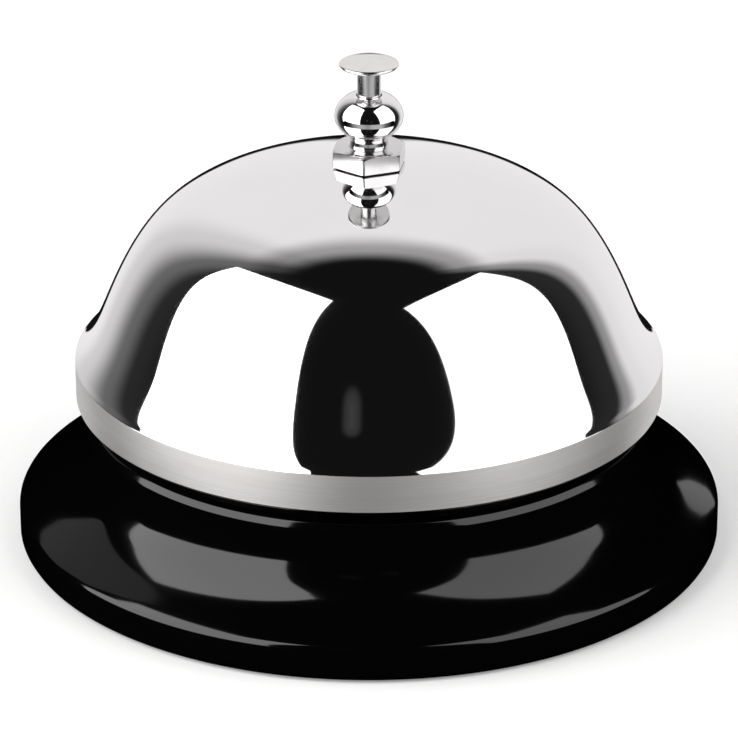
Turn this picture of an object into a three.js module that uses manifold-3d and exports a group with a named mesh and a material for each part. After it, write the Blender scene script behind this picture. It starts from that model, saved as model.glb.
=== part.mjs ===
// Counter service bell: a polished gong on a black drawn-steel base. Pressing the button on top drives a
// rod down a hollow post on to a lever, whose weighted head swings up and strikes the gong from inside.
// Millimetres, +Z up. The origin is the centre of the circle on which the foot ring rests.
// The striker works in the XZ plane, its head on the +X side.

import * as THREE from "three";
import Module from "manifold-3d";

const wasm = await Module();
wasm.setup();

// ---------------------------------------------------------------- driving dimensions
const BASE_R = 42.5; // skirt of the base
const SKIRT_Z = 0.25; // lower edge of the skirt, just clear of the table
const DECK_Z = 16.3; // top face of the base's raised drum
const SHEET = 1.0; // sheet thickness of the base
const DECK_HOLE_R = 6.0; // pilot hole in the middle of the deck

const RIM_R = 35.3; // outside of the gong's turned band
const RIM_Z = 17.8; // lower edge of the gong
const BAND_H = 5.1; // height of the band
const GONG_T = 1.0; // wall of the gong
const GONG_TOP = 46.82; // flat seat round the gong's hole
const GONG_HOLE_R = 2.65;

const FRAME_T = 1.2; // strip of the mechanism frame
const FRAME_TOP = 34.2; // top face of the frame's bridge
const WALL_Y = 7.0; // inside face of each frame wall
const FOOT_Y = 14.6; // outer end of each frame foot
const FRAME_X0 = -6.5;
const FRAME_X1 = 8.0;
const RIVET_Y = 11.4;
const RIVET_R = 1.5;

const POST_R = 4.2; // body of the hollow post
const POST_SHANK_R = 3.5; // its threaded lower end
const POST_BORE_R = 2.6;
const POST_BOTTOM = 29.8;
const POST_SEAT = 45.22; // shoulder under the gong

const ROD_R = 1.4; // plunger rod
const ROD_BORE_R = 1.5; // guides for the rod
const ROD_BOTTOM = 28.2;
const BUTTON_R = 3.55;
const BUTTON_Z = 59.1; // underside of the button
const BUTTON_T = 0.45;
const TRAVEL = 2.8; // stroke of the plunger

const HEX_AF = 8.0; // finial: hexagon across flats
const HEX_Z = 46.98;
const HEX_TOP = 49.2;
const BALL_R = 4.06; // the ball is a little flattened
const BALL_HALF_H = 3.02;
const BALL_Z = 52.93;
const BALL_LIP_R = 1.95; // edge of the small flat round the rod's hole
const NECK_R = 2.25;
const FINIAL_SHANK_R = 2.5;
const FINIAL_SHANK_Z = 41.0;

const PIVOT_X = 4.9; // lever pivot
const PIVOT_Z = 25.5;
const PIN_R = 1.5;
const HUB_R = 2.25; // sleeve on which the lever is pressed
const NOSE_ARM = 5.0; // pivot to the centre of the lever's nose
const NOSE_R = 1.3;
const HEAD_ARM = 21.25; // pivot to the centre of the striker head
const HEAD_R = 3.2;
const HEAD_L = 9.0;
const LEVER_T = 1.6;
const NOSE_REST = Math.asin(TRAVEL / 2 / NOSE_ARM); // nose above the horizontal, at rest
const HEAD_REST = Math.asin(-5.45 / HEAD_ARM); // head below the horizontal, at rest

const GAP = 0.05; // clearance kept between touching pieces

// ---------------------------------------------------------------- geometry helpers

// Welds a geometry to shared positions, drops collapsed triangles and faces it outwards.
function closed(geometry) {
  const g = geometry.index ? geometry.toNonIndexed() : geometry;
  const p = g.getAttribute("position");
  const key = new Map();
  const xyz = [];
  const at = [];
  for (let i = 0; i < p.count; i++) {
    const v = [p.getX(i), p.getY(i), p.getZ(i)];
    const k = v.map((c) => Math.round(c * 1e4)).join();
    if (!key.has(k)) {
      key.set(k, xyz.length / 3);
      xyz.push(...v);
    }
    at.push(key.get(k));
  }
  const tri = [];
  for (let i = 0; i < at.length; i += 3) {
    const [a, b, c] = [at[i], at[i + 1], at[i + 2]];
    if (a !== b && b !== c && a !== c) tri.push(a, b, c);
  }
  let six = 0;
  for (let i = 0; i < tri.length; i += 3) {
    const [a, b, c] = [0, 1, 2].map((k) =>
      new THREE.Vector3().fromArray(xyz, 3 * tri[i + k]),
    );
    six += a.dot(b.cross(c));
  }
  if (six < 0)
    for (let i = 0; i < tri.length; i += 3)
      [tri[i + 1], tri[i + 2]] = [tri[i + 2], tri[i + 1]];
  const out = new THREE.BufferGeometry();
  out.setAttribute("position", new THREE.Float32BufferAttribute(xyz, 3));
  out.setIndex(tri);
  return out;
}

function solid(geometry) {
  const g = closed(geometry);
  return new wasm.Manifold(
    new wasm.Mesh({
      numProp: 3,
      vertProperties: new Float32Array(g.getAttribute("position").array),
      triVerts: new Uint32Array(g.index.array),
    }),
  );
}

function geometryOf(manifold) {
  const m = manifold.getMesh();
  const out = new THREE.BufferGeometry();
  out.setAttribute(
    "position",
    new THREE.BufferAttribute(new Float32Array(m.vertProperties), 3),
  );
  out.setIndex(new THREE.BufferAttribute(new Uint32Array(m.triVerts), 1));
  return out;
}

// Turned about Z from [radius, height] pairs. The profile starts and ends on the axis, or closes on itself.
function turned(profile, segments) {
  return closed(
    new THREE.LatheGeometry(
      profile.map(([r, z]) => new THREE.Vector2(r, z)),
      segments,
    ).rotateX(Math.PI / 2),
  );
}

function ring(inner, outer, z0, z1, segments) {
  return turned(
    [
      [inner, z0],
      [outer, z0],
      [outer, z1],
      [inner, z1],
      [inner, z0],
    ],
    segments,
  );
}

function rod(radius, z0, z1, segments) {
  return turned(
    [
      [0, z0],
      [radius, z0],
      [radius, z1],
      [0, z1],
    ],
    segments,
  );
}

function circle(cx, cy, r, from = 0, to = 2 * Math.PI, n = 24) {
  return Array.from({ length: n + 1 }, (_, i) => {
    const a = from + ((to - from) * i) / n;
    return new THREE.Vector2(cx + r * Math.cos(a), cy + r * Math.sin(a));
  });
}

function plate(points, thickness, holes = []) {
  const shape = new THREE.Shape(points);
  shape.holes = holes.map((h) => new THREE.Path(h));
  return new THREE.ExtrudeGeometry(shape, {
    depth: thickness,
    bevelEnabled: false,
    curveSegments: 1,
  });
}

// An open retaining ring in the XY plane, its gap towards +X.
function openRing(inner, outer, halfGap, thickness, segments = 20) {
  const out = circle(0, 0, outer, halfGap, 2 * Math.PI - halfGap, segments);
  const back = circle(0, 0, inner, 2 * Math.PI - halfGap, halfGap, segments);
  return closed(plate([...out, ...back], thickness));
}

// Clamped uniform cubic B-spline: [radius, height] control points to an even run of points.
function bspline(control, count) {
  const spans = control.length - 3;
  const knot = (i) => Math.min(Math.max(i - 3, 0), spans) / spans;
  return Array.from({ length: count + 1 }, (_, j) => {
    const u = Math.min(j / count, 1 - 1e-9);
    const k = 3 + Math.floor(u * spans);
    const d = control.slice(k - 3, k + 1).map((p) => [...p]);
    for (let r = 1; r <= 3; r++)
      for (let i = 3; i >= r; i--) {
        const lo = knot(i + k - 3);
        const w = (u - lo) / (knot(i + 1 + k - r) - lo);
        d[i] = d[i].map((v, c) => d[i - 1][c] * (1 - w) + v * w);
      }
    return d[3];
  });
}

// The same line moved inwards by a wall thickness.
function inset(line, distance) {
  return line.map(([r, z], i) => {
    const a = line[Math.max(0, i - 1)];
    const b = line[Math.min(line.length - 1, i + 1)];
    const d = Math.hypot(b[0] - a[0], b[1] - a[1]);
    return [
      r + (distance * (b[1] - a[1])) / d,
      z - (distance * (b[0] - a[0])) / d,
    ];
  });
}

const steel = (color, roughness) =>
  new THREE.MeshStandardMaterial({ color, roughness, metalness: 1.0 });
const chrome = steel(0xe6e6e8, 0.05);
const plated = steel(0xb9b6ae, 0.32);
const brass = steel(0xc9a552, 0.3);
const enamel = new THREE.MeshStandardMaterial({
  color: 0x060606,
  roughness: 0.12,
  metalness: 0.0,
});
const rubber = new THREE.MeshStandardMaterial({
  color: 0x121212,
  roughness: 0.85,
  metalness: 0.0,
});
const fibre = new THREE.MeshStandardMaterial({
  color: 0x2a1510,
  roughness: 0.8,
  metalness: 0.0,
});

function piece(name, geometry, material, parent) {
  const mesh = new THREE.Mesh(geometry, material);
  mesh.name = name;
  parent.add(mesh);
  return mesh;
}

// ---------------------------------------------------------------- assembly groups
const bell = new THREE.Group();
const housing = new THREE.Group();
const plunger = new THREE.Group();
const striker = new THREE.Group();
striker.position.set(PIVOT_X, 0, PIVOT_Z);
bell.add(housing, plunger, striker);

// ---------------------------------------------------------------- base
// Drawn in one piece: skirt with its edge rolled under, a hollow-curved flank, and a drum with a flat deck.
{
  const flank = bspline(
    [
      [41.494, 4.862],
      [39.815, 5.81],
      [38.114, 6.736],
      [36.406, 8.102],
      [35.306, 9.28],
      [34.541, 11.473],
      [34.4, 14.3],
    ],
    9,
  );
  const shoulder = [
    [34.15, 15.2],
    [33.5, 15.9],
    [32.6, 16.22],
    [31.6, DECK_Z],
  ];
  const outer = [
    [BASE_R, 0.75],
    [BASE_R, 3.7],
    [BASE_R - 0.22, 4.35],
    [BASE_R - 0.62, 4.72],
    ...flank,
    ...shoulder,
    [DECK_HOLE_R, DECK_Z],
  ];
  const under = inset([...flank, ...shoulder], -SHEET).reverse();
  const inner = [
    [DECK_HOLE_R, DECK_Z - SHEET],
    ...under.map(([r, z]) => [r, Math.min(z, DECK_Z - SHEET)]),
    [BASE_R - SHEET, 3.5],
    [BASE_R - SHEET, 2.1],
    [38.6, 2.1],
    [38.6, 1.3],
    [BASE_R - 0.9, 1.3],
    [BASE_R - 0.9, 0.55],
    [BASE_R - 0.65, SKIRT_Z + 0.02],
    [BASE_R - 0.3, SKIRT_Z],
    [BASE_R, 0.75],
  ];
  const drum = solid(turned([...outer, ...inner], 48));
  const holes = [1, -1].map((side) =>
    solid(rod(RIVET_R + 0.1, DECK_Z - 3, DECK_Z + 3, 16)).translate([
      0,
      side * RIVET_Y,
      0,
    ]),
  );
  piece(
    "base_shell",
    geometryOf(drum.subtract(holes[0]).subtract(holes[1])),
    enamel,
    housing,
  );
}

// Rubber ring held under the rolled edge: the face the bell rests on.
piece(
  "foot_ring",
  turned(
    [
      [38.7, 0],
      [41.2, 0],
      [41.45, 0.2],
      [41.45, 1.25],
      [38.7, 1.25],
      [38.7, 0],
    ],
    48,
  ),
  rubber,
  housing,
);

// ---------------------------------------------------------------- gong
{
  const dome = bspline(
    [
      [4.9, GONG_TOP],
      [7.6, 46.42],
      [12.834, 45.165],
      [19.363, 43.457],
      [25.171, 40.228],
      [28.993, 34.952],
      [31.616, 29.123],
      [33.348, 24.609],
      [34.95, RIM_Z + BAND_H],
    ],
    17,
  );
  const lining = inset(dome, GONG_T);
  const wall = lining
    .filter(([r, z]) => z > RIM_Z + BAND_H + 0.8 && r < 33.6)
    .reverse();
  const profile = [
    [GONG_HOLE_R, GONG_TOP],
    ...dome,
    [RIM_R, RIM_Z + BAND_H - 0.25],
    [RIM_R, RIM_Z + 0.25],
    [RIM_R - 0.25, RIM_Z],
    [RIM_R - 0.95, RIM_Z],
    [RIM_R - 1.15, RIM_Z + 0.2],
    [RIM_R - 1.15, RIM_Z + BAND_H - 0.8],
    ...wall,
    [GONG_HOLE_R, GONG_TOP - GONG_T],
    [GONG_HOLE_R, GONG_TOP],
  ];
  profile.forEach((p) => (p[1] = Math.min(p[1], GONG_TOP)));
  piece("gong", turned(profile, 48), chrome, housing);
}
piece(
  "gong_lower_washer",
  ring(GONG_HOLE_R, 5.0, 0, 0.5, 24),
  fibre,
  housing,
).position.z = POST_SEAT + GAP;
piece(
  "gong_upper_washer",
  ring(GONG_HOLE_R, 3.7, 0, 0.12, 24),
  fibre,
  housing,
).position.z = GONG_TOP + 0.02;

// ---------------------------------------------------------------- finial: a hollow hexagon screw with a ball head
{
  const ball = [];
  const low = -Math.acos(NECK_R / BALL_R);
  const high = Math.acos(BALL_LIP_R / BALL_R);
  const top = BALL_Z + BALL_HALF_H * Math.sin(high);
  for (let i = 0; i <= 11; i++) {
    const a = low + ((high - low) * i) / 11;
    ball.push([
      BALL_R * Math.cos(a),
      BALL_Z + BALL_HALF_H * Math.sin(a),
    ]);
  }
  const body = solid(
    turned(
      [
        [ROD_BORE_R, FINIAL_SHANK_Z],
        [FINIAL_SHANK_R - 0.3, FINIAL_SHANK_Z],
        [FINIAL_SHANK_R, FINIAL_SHANK_Z + 0.3],
        [FINIAL_SHANK_R, HEX_Z + 0.4],
        [3.0, HEX_Z + 0.9],
        [3.0, HEX_TOP - 0.4],
        [NECK_R, HEX_TOP - 0.1],
        ...ball,
        [ROD_BORE_R, top],
        [ROD_BORE_R, FINIAL_SHANK_Z],
      ],
      24,
    ),
  );
  // Hexagon with its upper corners turned off to a cone.
  const prism = solid(
    new THREE.CylinderGeometry(
      HEX_AF / Math.sqrt(3),
      HEX_AF / Math.sqrt(3),
      HEX_TOP - HEX_Z,
      6,
    )
      .rotateX(Math.PI / 2)
      .rotateZ((-8.5 * Math.PI) / 180)
      .translate(0, 0, (HEX_Z + HEX_TOP) / 2),
  );
  const cone = solid(
    turned(
      [
        [0, HEX_Z - 1],
        [4.5, HEX_Z - 1],
        [4.5, HEX_Z],
        [4.72, HEX_Z + 0.14],
        [4.72, HEX_TOP - 0.6],
        [4.35, HEX_TOP - 0.22],
        [3.95, HEX_TOP - 0.05],
        [3.5, HEX_TOP],
        [3.5, HEX_TOP + 1],
        [0, HEX_TOP + 1],
      ],
      24,
    ),
  );
  const bore = solid(rod(ROD_BORE_R, FINIAL_SHANK_Z - 1, top + 1, 24));
  piece(
    "finial_screw",
    geometryOf(prism.intersect(cone).add(body).subtract(bore)),
    chrome,
    housing,
  );
}

// ---------------------------------------------------------------- mechanism frame
// One strip bent to a bridge: two feet on the deck, two walls, and a top plate that carries the post.
{
  const w = WALL_Y;
  const t = FRAME_T;
  const z0 = DECK_Z + GAP;
  const r = 0.9; // inside bend radius
  const bend = (cy, cz, radius, from, to) =>
    circle(cy, cz, radius, from, to, 3);
  const q = Math.PI / 2;
  const half = [
    ...bend(w + t - (r + t), FRAME_TOP - (r + t), r + t, q, 0), // top outer corner
    ...bend(w + t + r, z0 + t + r, r, 2 * q, 3 * q), // outer fillet above the foot
    new THREE.Vector2(FOOT_Y, z0 + t),
    new THREE.Vector2(FOOT_Y, z0),
    ...bend(w + t + r, z0 + r + t, r + t, 3 * q, 2 * q).map((v) => v), // under the foot bend
    ...bend(w - r, FRAME_TOP - t - r, r, 0, q), // inside top corner
  ];
  const outline = [
    ...half,
    ...half.map((v) => new THREE.Vector2(-v.x, v.y)).reverse(),
  ];
  const strip = solid(
    plate(outline, FRAME_X1 - FRAME_X0).translate(0, 0, FRAME_X0),
  );
  // In this local frame X is across the bell, Y is up and Z is along the striker.
  const along = (g) => solid(g.rotateX(-Math.PI / 2)); // a turned piece's axis, from Z to Y (up)
  const postHole = along(rod(POST_SHANK_R + 0.08, FRAME_TOP - 3, FRAME_TOP + 3, 24));
  const pinHole = solid(
    rod(PIN_R + 0.06, -12, 12, 20).rotateY(Math.PI / 2),
  ).translate([0, PIVOT_Z, PIVOT_X]);
  let frame = strip.subtract(postHole).subtract(pinHole);
  for (const side of [1, -1])
    frame = frame.subtract(
      along(rod(RIVET_R + 0.1, DECK_Z - 2, DECK_Z + 4, 16)).translate([
        side * RIVET_Y,
        0,
        0,
      ]),
    );
  const mesh = piece("mechanism_frame", geometryOf(frame), plated, housing);
  mesh.quaternion.setFromRotationMatrix(
    new THREE.Matrix4().makeBasis(
      new THREE.Vector3(0, 1, 0),
      new THREE.Vector3(0, 0, 1),
      new THREE.Vector3(1, 0, 0),
    ),
  );
}

// Two rivets through the frame's feet and the deck.
for (const [name, side] of [
  ["frame_rivet_front", -1],
  ["frame_rivet_rear", 1],
]) {
  const top = DECK_Z + GAP + FRAME_T + GAP;
  const low = DECK_Z - SHEET - GAP;
  piece(
    name,
    turned(
      [
        [0, low - 0.8],
        [1.5, low - 0.75],
        [2.2, low - 0.35],
        [2.3, low],
        [RIVET_R, low],
        [RIVET_R, top],
        [2.7, top],
        [2.45, top + 0.65],
        [1.6, top + 1.15],
        [0, top + 1.35],
      ],
      16,
    ),
    plated,
    housing,
  ).position.y = side * RIVET_Y;
}

// ---------------------------------------------------------------- hollow post, with its nut, lock washer and guide bush
piece(
  "centre_post",
  turned(
    [
      [POST_BORE_R, POST_BOTTOM],
      [POST_SHANK_R - 0.3, POST_BOTTOM],
      [POST_SHANK_R, POST_BOTTOM + 0.3],
      [POST_SHANK_R, FRAME_TOP + GAP],
      [5.4, FRAME_TOP + GAP],
      [5.4, FRAME_TOP + 1.1],
      [5.1, FRAME_TOP + 1.4],
      [POST_R, FRAME_TOP + 1.4],
      [POST_R, POST_SEAT - 0.3],
      [POST_R - 0.3, POST_SEAT],
      [POST_BORE_R, POST_SEAT],
      [POST_BORE_R, POST_BOTTOM],
    ],
    24,
  ),
  plated,
  housing,
);
{
  const nut = solid(
    new THREE.CylinderGeometry(10 / Math.sqrt(3), 10 / Math.sqrt(3), 2.1, 6)
      .rotateX(Math.PI / 2)
      .translate(0, 0, 1.05),
  )
    .intersect(
      solid(
        turned(
          [
            [0, -0.01],
            [5.0, -0.01],
            [5.8, 0.45],
            [5.8, 1.65],
            [5.0, 2.11],
            [0, 2.11],
          ],
          24,
        ),
      ),
    )
    .subtract(solid(rod(POST_SHANK_R + 0.06, -1, 4, 24)));
  piece("post_nut", geometryOf(nut), plated, housing).position.z = 30.2;
}
piece(
  "post_lock_washer",
  openRing(POST_SHANK_R + 0.06, 5.4, 0.07, 0.6, 22),
  plated,
  housing,
).position.z = 32.35;
piece(
  "guide_bush",
  turned(
    [
      [ROD_BORE_R, -0.7],
      [3.35, -0.7],
      [3.35, -GAP],
      [POST_BORE_R - GAP, -GAP],
      [POST_BORE_R - GAP, 0.8],
      [ROD_BORE_R, 0.8],
      [ROD_BORE_R, -0.7],
    ],
    24,
  ),
  brass,
  housing,
).position.z = POST_BOTTOM;

// ---------------------------------------------------------------- return spring, closed at both ends
{
  const wire = 0.22;
  const coilR = 2.05;
  const z0 = POST_BOTTOM + 0.8 + GAP + wire;
  const z1 = 39.8 - wire;
  const turns = 6;
  const closedPitch = 0.5;
  class Coil extends THREE.Curve {
    getPoint(t, target = new THREE.Vector3()) {
      const n = t * turns;
      const lift =
        n < 1
          ? closedPitch * n
          : n > turns - 1
            ? z1 - z0 - closedPitch * (turns - n)
            : closedPitch +
              ((n - 1) / (turns - 2)) * (z1 - z0 - 2 * closedPitch);
      const a = 2 * Math.PI * n;
      return target.set(coilR * Math.cos(a), coilR * Math.sin(a), lift);
    }
  }
  const section = new THREE.Shape(circle(0, 0, wire, 0, 2 * Math.PI, 6).slice(0, 6));
  piece(
    "return_spring",
    closed(
      new THREE.ExtrudeGeometry(section, {
        steps: 72,
        extrudePath: new Coil(),
        bevelEnabled: false,
      }),
    ),
    plated,
    housing,
  ).position.z = z0;
}

// ---------------------------------------------------------------- plunger: button, rod, retaining clip and spring cap
{
  const grooveR = 1.05;
  piece(
    "plunger_rod",
    turned(
      [
        [0, ROD_BOTTOM],
        [0.75, ROD_BOTTOM],
        [1.15, ROD_BOTTOM + 0.2],
        [ROD_R, ROD_BOTTOM + 0.6],
        [ROD_R, 40.35],
        [grooveR, 40.35],
        [grooveR, 40.95],
        [ROD_R, 40.95],
        [ROD_R, BUTTON_Z - GAP],
        [0.9, BUTTON_Z - GAP],
        [0.9, BUTTON_Z + 0.15],
        [0, BUTTON_Z + 0.15],
      ],
      24,
    ),
    chrome,
    plunger,
  );
  piece(
    "push_button",
    turned(
      [
        [0, BUTTON_Z + 0.2],
        [0.95, BUTTON_Z + 0.2],
        [0.95, BUTTON_Z],
        [3.3, BUTTON_Z],
        [3.5, BUTTON_Z + 0.08],
        [BUTTON_R, BUTTON_Z + 0.2],
        [3.5, BUTTON_Z + 0.34],
        [3.35, BUTTON_Z + 0.42],
        [3.1, BUTTON_Z + BUTTON_T],
        [0, BUTTON_Z + BUTTON_T],
      ],
      36,
    ),
    chrome,
    plunger,
  );
  piece(
    "plunger_clip",
    openRing(grooveR + GAP, 2.4, 0.55, 0.5, 14),
    plated,
    plunger,
  ).position.z = 40.4;
  piece(
    "spring_cap_washer",
    ring(ROD_R + 0.06, 2.45, 0, 0.45, 24),
    plated,
    plunger,
  ).position.z = 39.85;
}

// ---------------------------------------------------------------- striker: pressed lever, hub sleeve and turned head
{
  const nose = [
    -NOSE_ARM * Math.cos(NOSE_REST),
    NOSE_ARM * Math.sin(NOSE_REST),
  ];
  const head = [
    HEAD_ARM * Math.cos(HEAD_REST),
    HEAD_ARM * Math.sin(HEAD_REST),
  ];
  const disc = (c, r, n) =>
    solid(plate(circle(c[0], c[1], r, 0, 2 * Math.PI, n).slice(0, n), LEVER_T));
  const link = (a, ra, b, rb) => {
    const d = Math.atan2(b[1] - a[1], b[0] - a[0]) + Math.PI / 2;
    const [c, s] = [Math.cos(d), Math.sin(d)];
    return solid(
      plate(
        [
          new THREE.Vector2(a[0] - ra * c, a[1] - ra * s),
          new THREE.Vector2(b[0] - rb * c, b[1] - rb * s),
          new THREE.Vector2(b[0] + rb * c, b[1] + rb * s),
          new THREE.Vector2(a[0] + ra * c, a[1] + ra * s),
        ],
        LEVER_T,
      ),
    );
  };
  // The finger that carries the nose: slimmer above, where the rod comes down on the nose alone.
  const finger = (() => {
    const along = new THREE.Vector2(...nose).normalize();
    const up = new THREE.Vector2(along.y, -along.x);
    const at = (u, v) =>
      along.clone().multiplyScalar(u).add(up.clone().multiplyScalar(v));
    return solid(
      plate(
        [
          at(0, -2.6),
          at(NOSE_ARM, -(NOSE_R - 0.15)),
          at(NOSE_ARM, 0.7),
          at(0, 1.2),
        ],
        LEVER_T,
      ),
    );
  })();
  const coreR = 1.6;
  const cutter = (c, r) =>
    solid(rod(r, -1, LEVER_T + 1, 24)).translate([c[0], c[1], 0]);
  const lever = disc([0, 0], 3.15, 28)
    .add(disc(nose, NOSE_R - GAP, 16))
    .add(disc(head, HEAD_R - 0.2, 24))
    .add(finger)
    .add(link([0, 0], 2.3, head, 1.7))
    .subtract(cutter([0, 0], HUB_R + 0.06))
    .subtract(cutter(head, coreR + 0.06));
  const stand = (mesh) => {
    mesh.rotation.x = Math.PI / 2; // the plate stands up in the XZ plane
    return mesh;
  };
  stand(piece("striker_lever", geometryOf(lever), plated, striker)).position.y =
    LEVER_T / 2;
  const hub = stand(
    piece(
      "striker_hub",
      turned(
        [
          [PIN_R + 0.08, -(WALL_Y - 0.25)],
          [HUB_R, -(WALL_Y - 0.25)],
          [HUB_R, WALL_Y - 0.25],
          [PIN_R + 0.08, WALL_Y - 0.25],
          [PIN_R + 0.08, -(WALL_Y - 0.25)],
        ],
        24,
      ),
      brass,
      striker,
    ),
  );
  hub.position.set(0, 0, 0);
  const edge = 0.6;
  const cheek = LEVER_T / 2 + GAP;
  stand(
    piece(
      "striker_head",
      turned(
        [
          [0, -HEAD_L / 2],
          [HEAD_R - edge, -HEAD_L / 2],
          [HEAD_R - 0.18, -HEAD_L / 2 + 0.18],
          [HEAD_R, -HEAD_L / 2 + edge],
          [HEAD_R, -cheek],
          [coreR, -cheek],
          [coreR, cheek],
          [HEAD_R, cheek],
          [HEAD_R, HEAD_L / 2 - edge],
          [HEAD_R - 0.18, HEAD_L / 2 - 0.18],
          [HEAD_R - edge, HEAD_L / 2],
          [0, HEAD_L / 2],
        ],
        24,
      ),
      brass,
      striker,
    ),
  ).position.set(head[0], 0, head[1]);
}

// ---------------------------------------------------------------- pivot pin across the frame's walls, and its clip
{
  const face = WALL_Y + FRAME_T + GAP;
  const pin = piece(
    "pivot_pin",
    turned(
      [
        [0, -face - 1.1],
        [1.9, -face - 1.1],
        [2.5, -face - 0.6],
        [2.5, -face],
        [PIN_R, -face],
        [PIN_R, face + 0.05],
        [1.1, face + 0.05],
        [1.1, face + 0.65],
        [PIN_R, face + 0.65],
        [PIN_R, face + 1.2],
        [PIN_R - 0.3, face + 1.5],
        [0, face + 1.5],
      ],
      20,
    ),
    plated,
    housing,
  );
  pin.rotation.x = -Math.PI / 2; // its axis runs along +Y
  pin.position.set(PIVOT_X, 0, PIVOT_Z);
  const clip = piece(
    "pivot_clip",
    openRing(1.15, 2.8, 0.55, 0.5, 14),
    plated,
    housing,
  );
  clip.rotation.x = -Math.PI / 2;
  clip.position.set(PIVOT_X, face + 0.1, PIVOT_Z);
}

export default bell;
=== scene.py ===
import math

import bmesh
import bpy
from mathutils import Matrix, Vector
from mathutils.geometry import tessellate_polygon


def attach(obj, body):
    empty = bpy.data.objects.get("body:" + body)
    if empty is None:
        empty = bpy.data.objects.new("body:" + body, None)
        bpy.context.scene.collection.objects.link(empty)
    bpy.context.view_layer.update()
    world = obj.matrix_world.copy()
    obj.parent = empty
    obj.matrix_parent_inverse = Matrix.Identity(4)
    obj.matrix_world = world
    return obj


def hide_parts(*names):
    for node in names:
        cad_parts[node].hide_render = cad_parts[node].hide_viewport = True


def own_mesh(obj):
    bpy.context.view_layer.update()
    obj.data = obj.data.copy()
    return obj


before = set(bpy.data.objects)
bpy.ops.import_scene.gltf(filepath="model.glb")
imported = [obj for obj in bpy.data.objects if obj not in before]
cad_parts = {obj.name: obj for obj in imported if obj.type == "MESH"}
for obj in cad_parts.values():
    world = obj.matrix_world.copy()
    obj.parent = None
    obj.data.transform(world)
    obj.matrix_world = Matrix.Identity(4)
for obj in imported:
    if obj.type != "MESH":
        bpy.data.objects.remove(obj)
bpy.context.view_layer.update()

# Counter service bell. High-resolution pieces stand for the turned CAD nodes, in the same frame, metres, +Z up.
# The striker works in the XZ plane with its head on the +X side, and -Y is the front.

MM = 0.001
scene = bpy.context.scene


# ---------------------------------------------------------------- camera, floor, lights
ELEVATION = math.radians(23.99)
DISTANCE = 0.5422
TARGET = Vector((0.0, 0.0, 0.02028))
cam_data = bpy.data.cameras.new("camera")
cam_data.sensor_width = 36.0
cam_data.lens = 219.4
cam_data.clip_start = 0.01
cam_data.clip_end = 30.0
camera = bpy.data.objects.new("camera", cam_data)
scene.collection.objects.link(camera)
back = Vector((0, -math.cos(ELEVATION), math.sin(ELEVATION)))
camera.location = TARGET + DISTANCE * back
camera.rotation_euler = (math.pi / 2 - ELEVATION, 0, 0)
scene.camera = camera
scene.view_settings.view_transform = "Standard"
scene.view_settings.look = "None"


def nodes_of(material):
    material.use_nodes = True
    tree = material.node_tree
    tree.nodes.clear()
    return tree


def add(tree, kind, **values):
    node = tree.nodes.new(kind)
    for key, value in values.items():
        if key.startswith("in_"):
            k = key[3:]
            node.inputs[int(k) if k.isdigit() else k.replace("_", " ")].default_value = value
        else:
            setattr(node, key, value)
    return node


def link(tree, a, b):
    tree.links.new(a, b)


# Floor: a wide pale disc. It lights the bell but isn't mirrored in it, like the dark cloth under the real one.
bm = bmesh.new()
bmesh.ops.create_circle(bm, cap_ends=True, radius=3.0, segments=128)
floor_mesh = bpy.data.meshes.new("floor")
bm.to_mesh(floor_mesh)
bm.free()
floor = bpy.data.objects.new("floor", floor_mesh)
floor.location.z = -0.00005
scene.collection.objects.link(floor)
m = bpy.data.materials.new("floor_paper")
t = nodes_of(m)
out = add(t, "ShaderNodeOutputMaterial")
bsdf = add(t, "ShaderNodeBsdfDiffuse", in_Color=(0.90, 0.90, 0.90, 1))
glow = add(t, "ShaderNodeEmission", in_Color=(1, 1, 1, 1), in_Strength=0.20)
both = add(t, "ShaderNodeAddShader")
link(t, bsdf.outputs[0], both.inputs[0])
link(t, glow.outputs[0], both.inputs[1])
link(t, both.outputs[0], out.inputs[0])
floor_mesh.materials.append(m)
floor.visible_glossy = False

# Backdrop: a big white dome that only the camera sees.
bm = bmesh.new()
bmesh.ops.create_uvsphere(bm, u_segments=48, v_segments=24, radius=8.0)
dome_mesh = bpy.data.meshes.new("backdrop")
bm.to_mesh(dome_mesh)
bm.free()
backdrop = bpy.data.objects.new("backdrop", dome_mesh)
scene.collection.objects.link(backdrop)
m = bpy.data.materials.new("backdrop_white")
t = nodes_of(m)
out = add(t, "ShaderNodeOutputMaterial")
em = add(t, "ShaderNodeEmission", in_Color=(1, 1, 1, 1), in_Strength=1.0)
link(t, em.outputs[0], out.inputs[0])
dome_mesh.materials.append(m)
for ray in ("diffuse", "glossy", "transmission", "volume_scatter", "shadow"):
    setattr(backdrop, "visible_" + ray, False)

# Room: dark all round, except for a light wall behind and above the bell.
DARK = (0.0065, 0.0062, 0.0064, 1)
world = bpy.data.worlds.new("room")
scene.world = world
t = nodes_of(world)
out = add(t, "ShaderNodeOutputWorld")
bg = add(t, "ShaderNodeBackground", in_Color=DARK, in_Strength=1.0)
link(t, bg.outputs[0], out.inputs[0])

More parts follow.
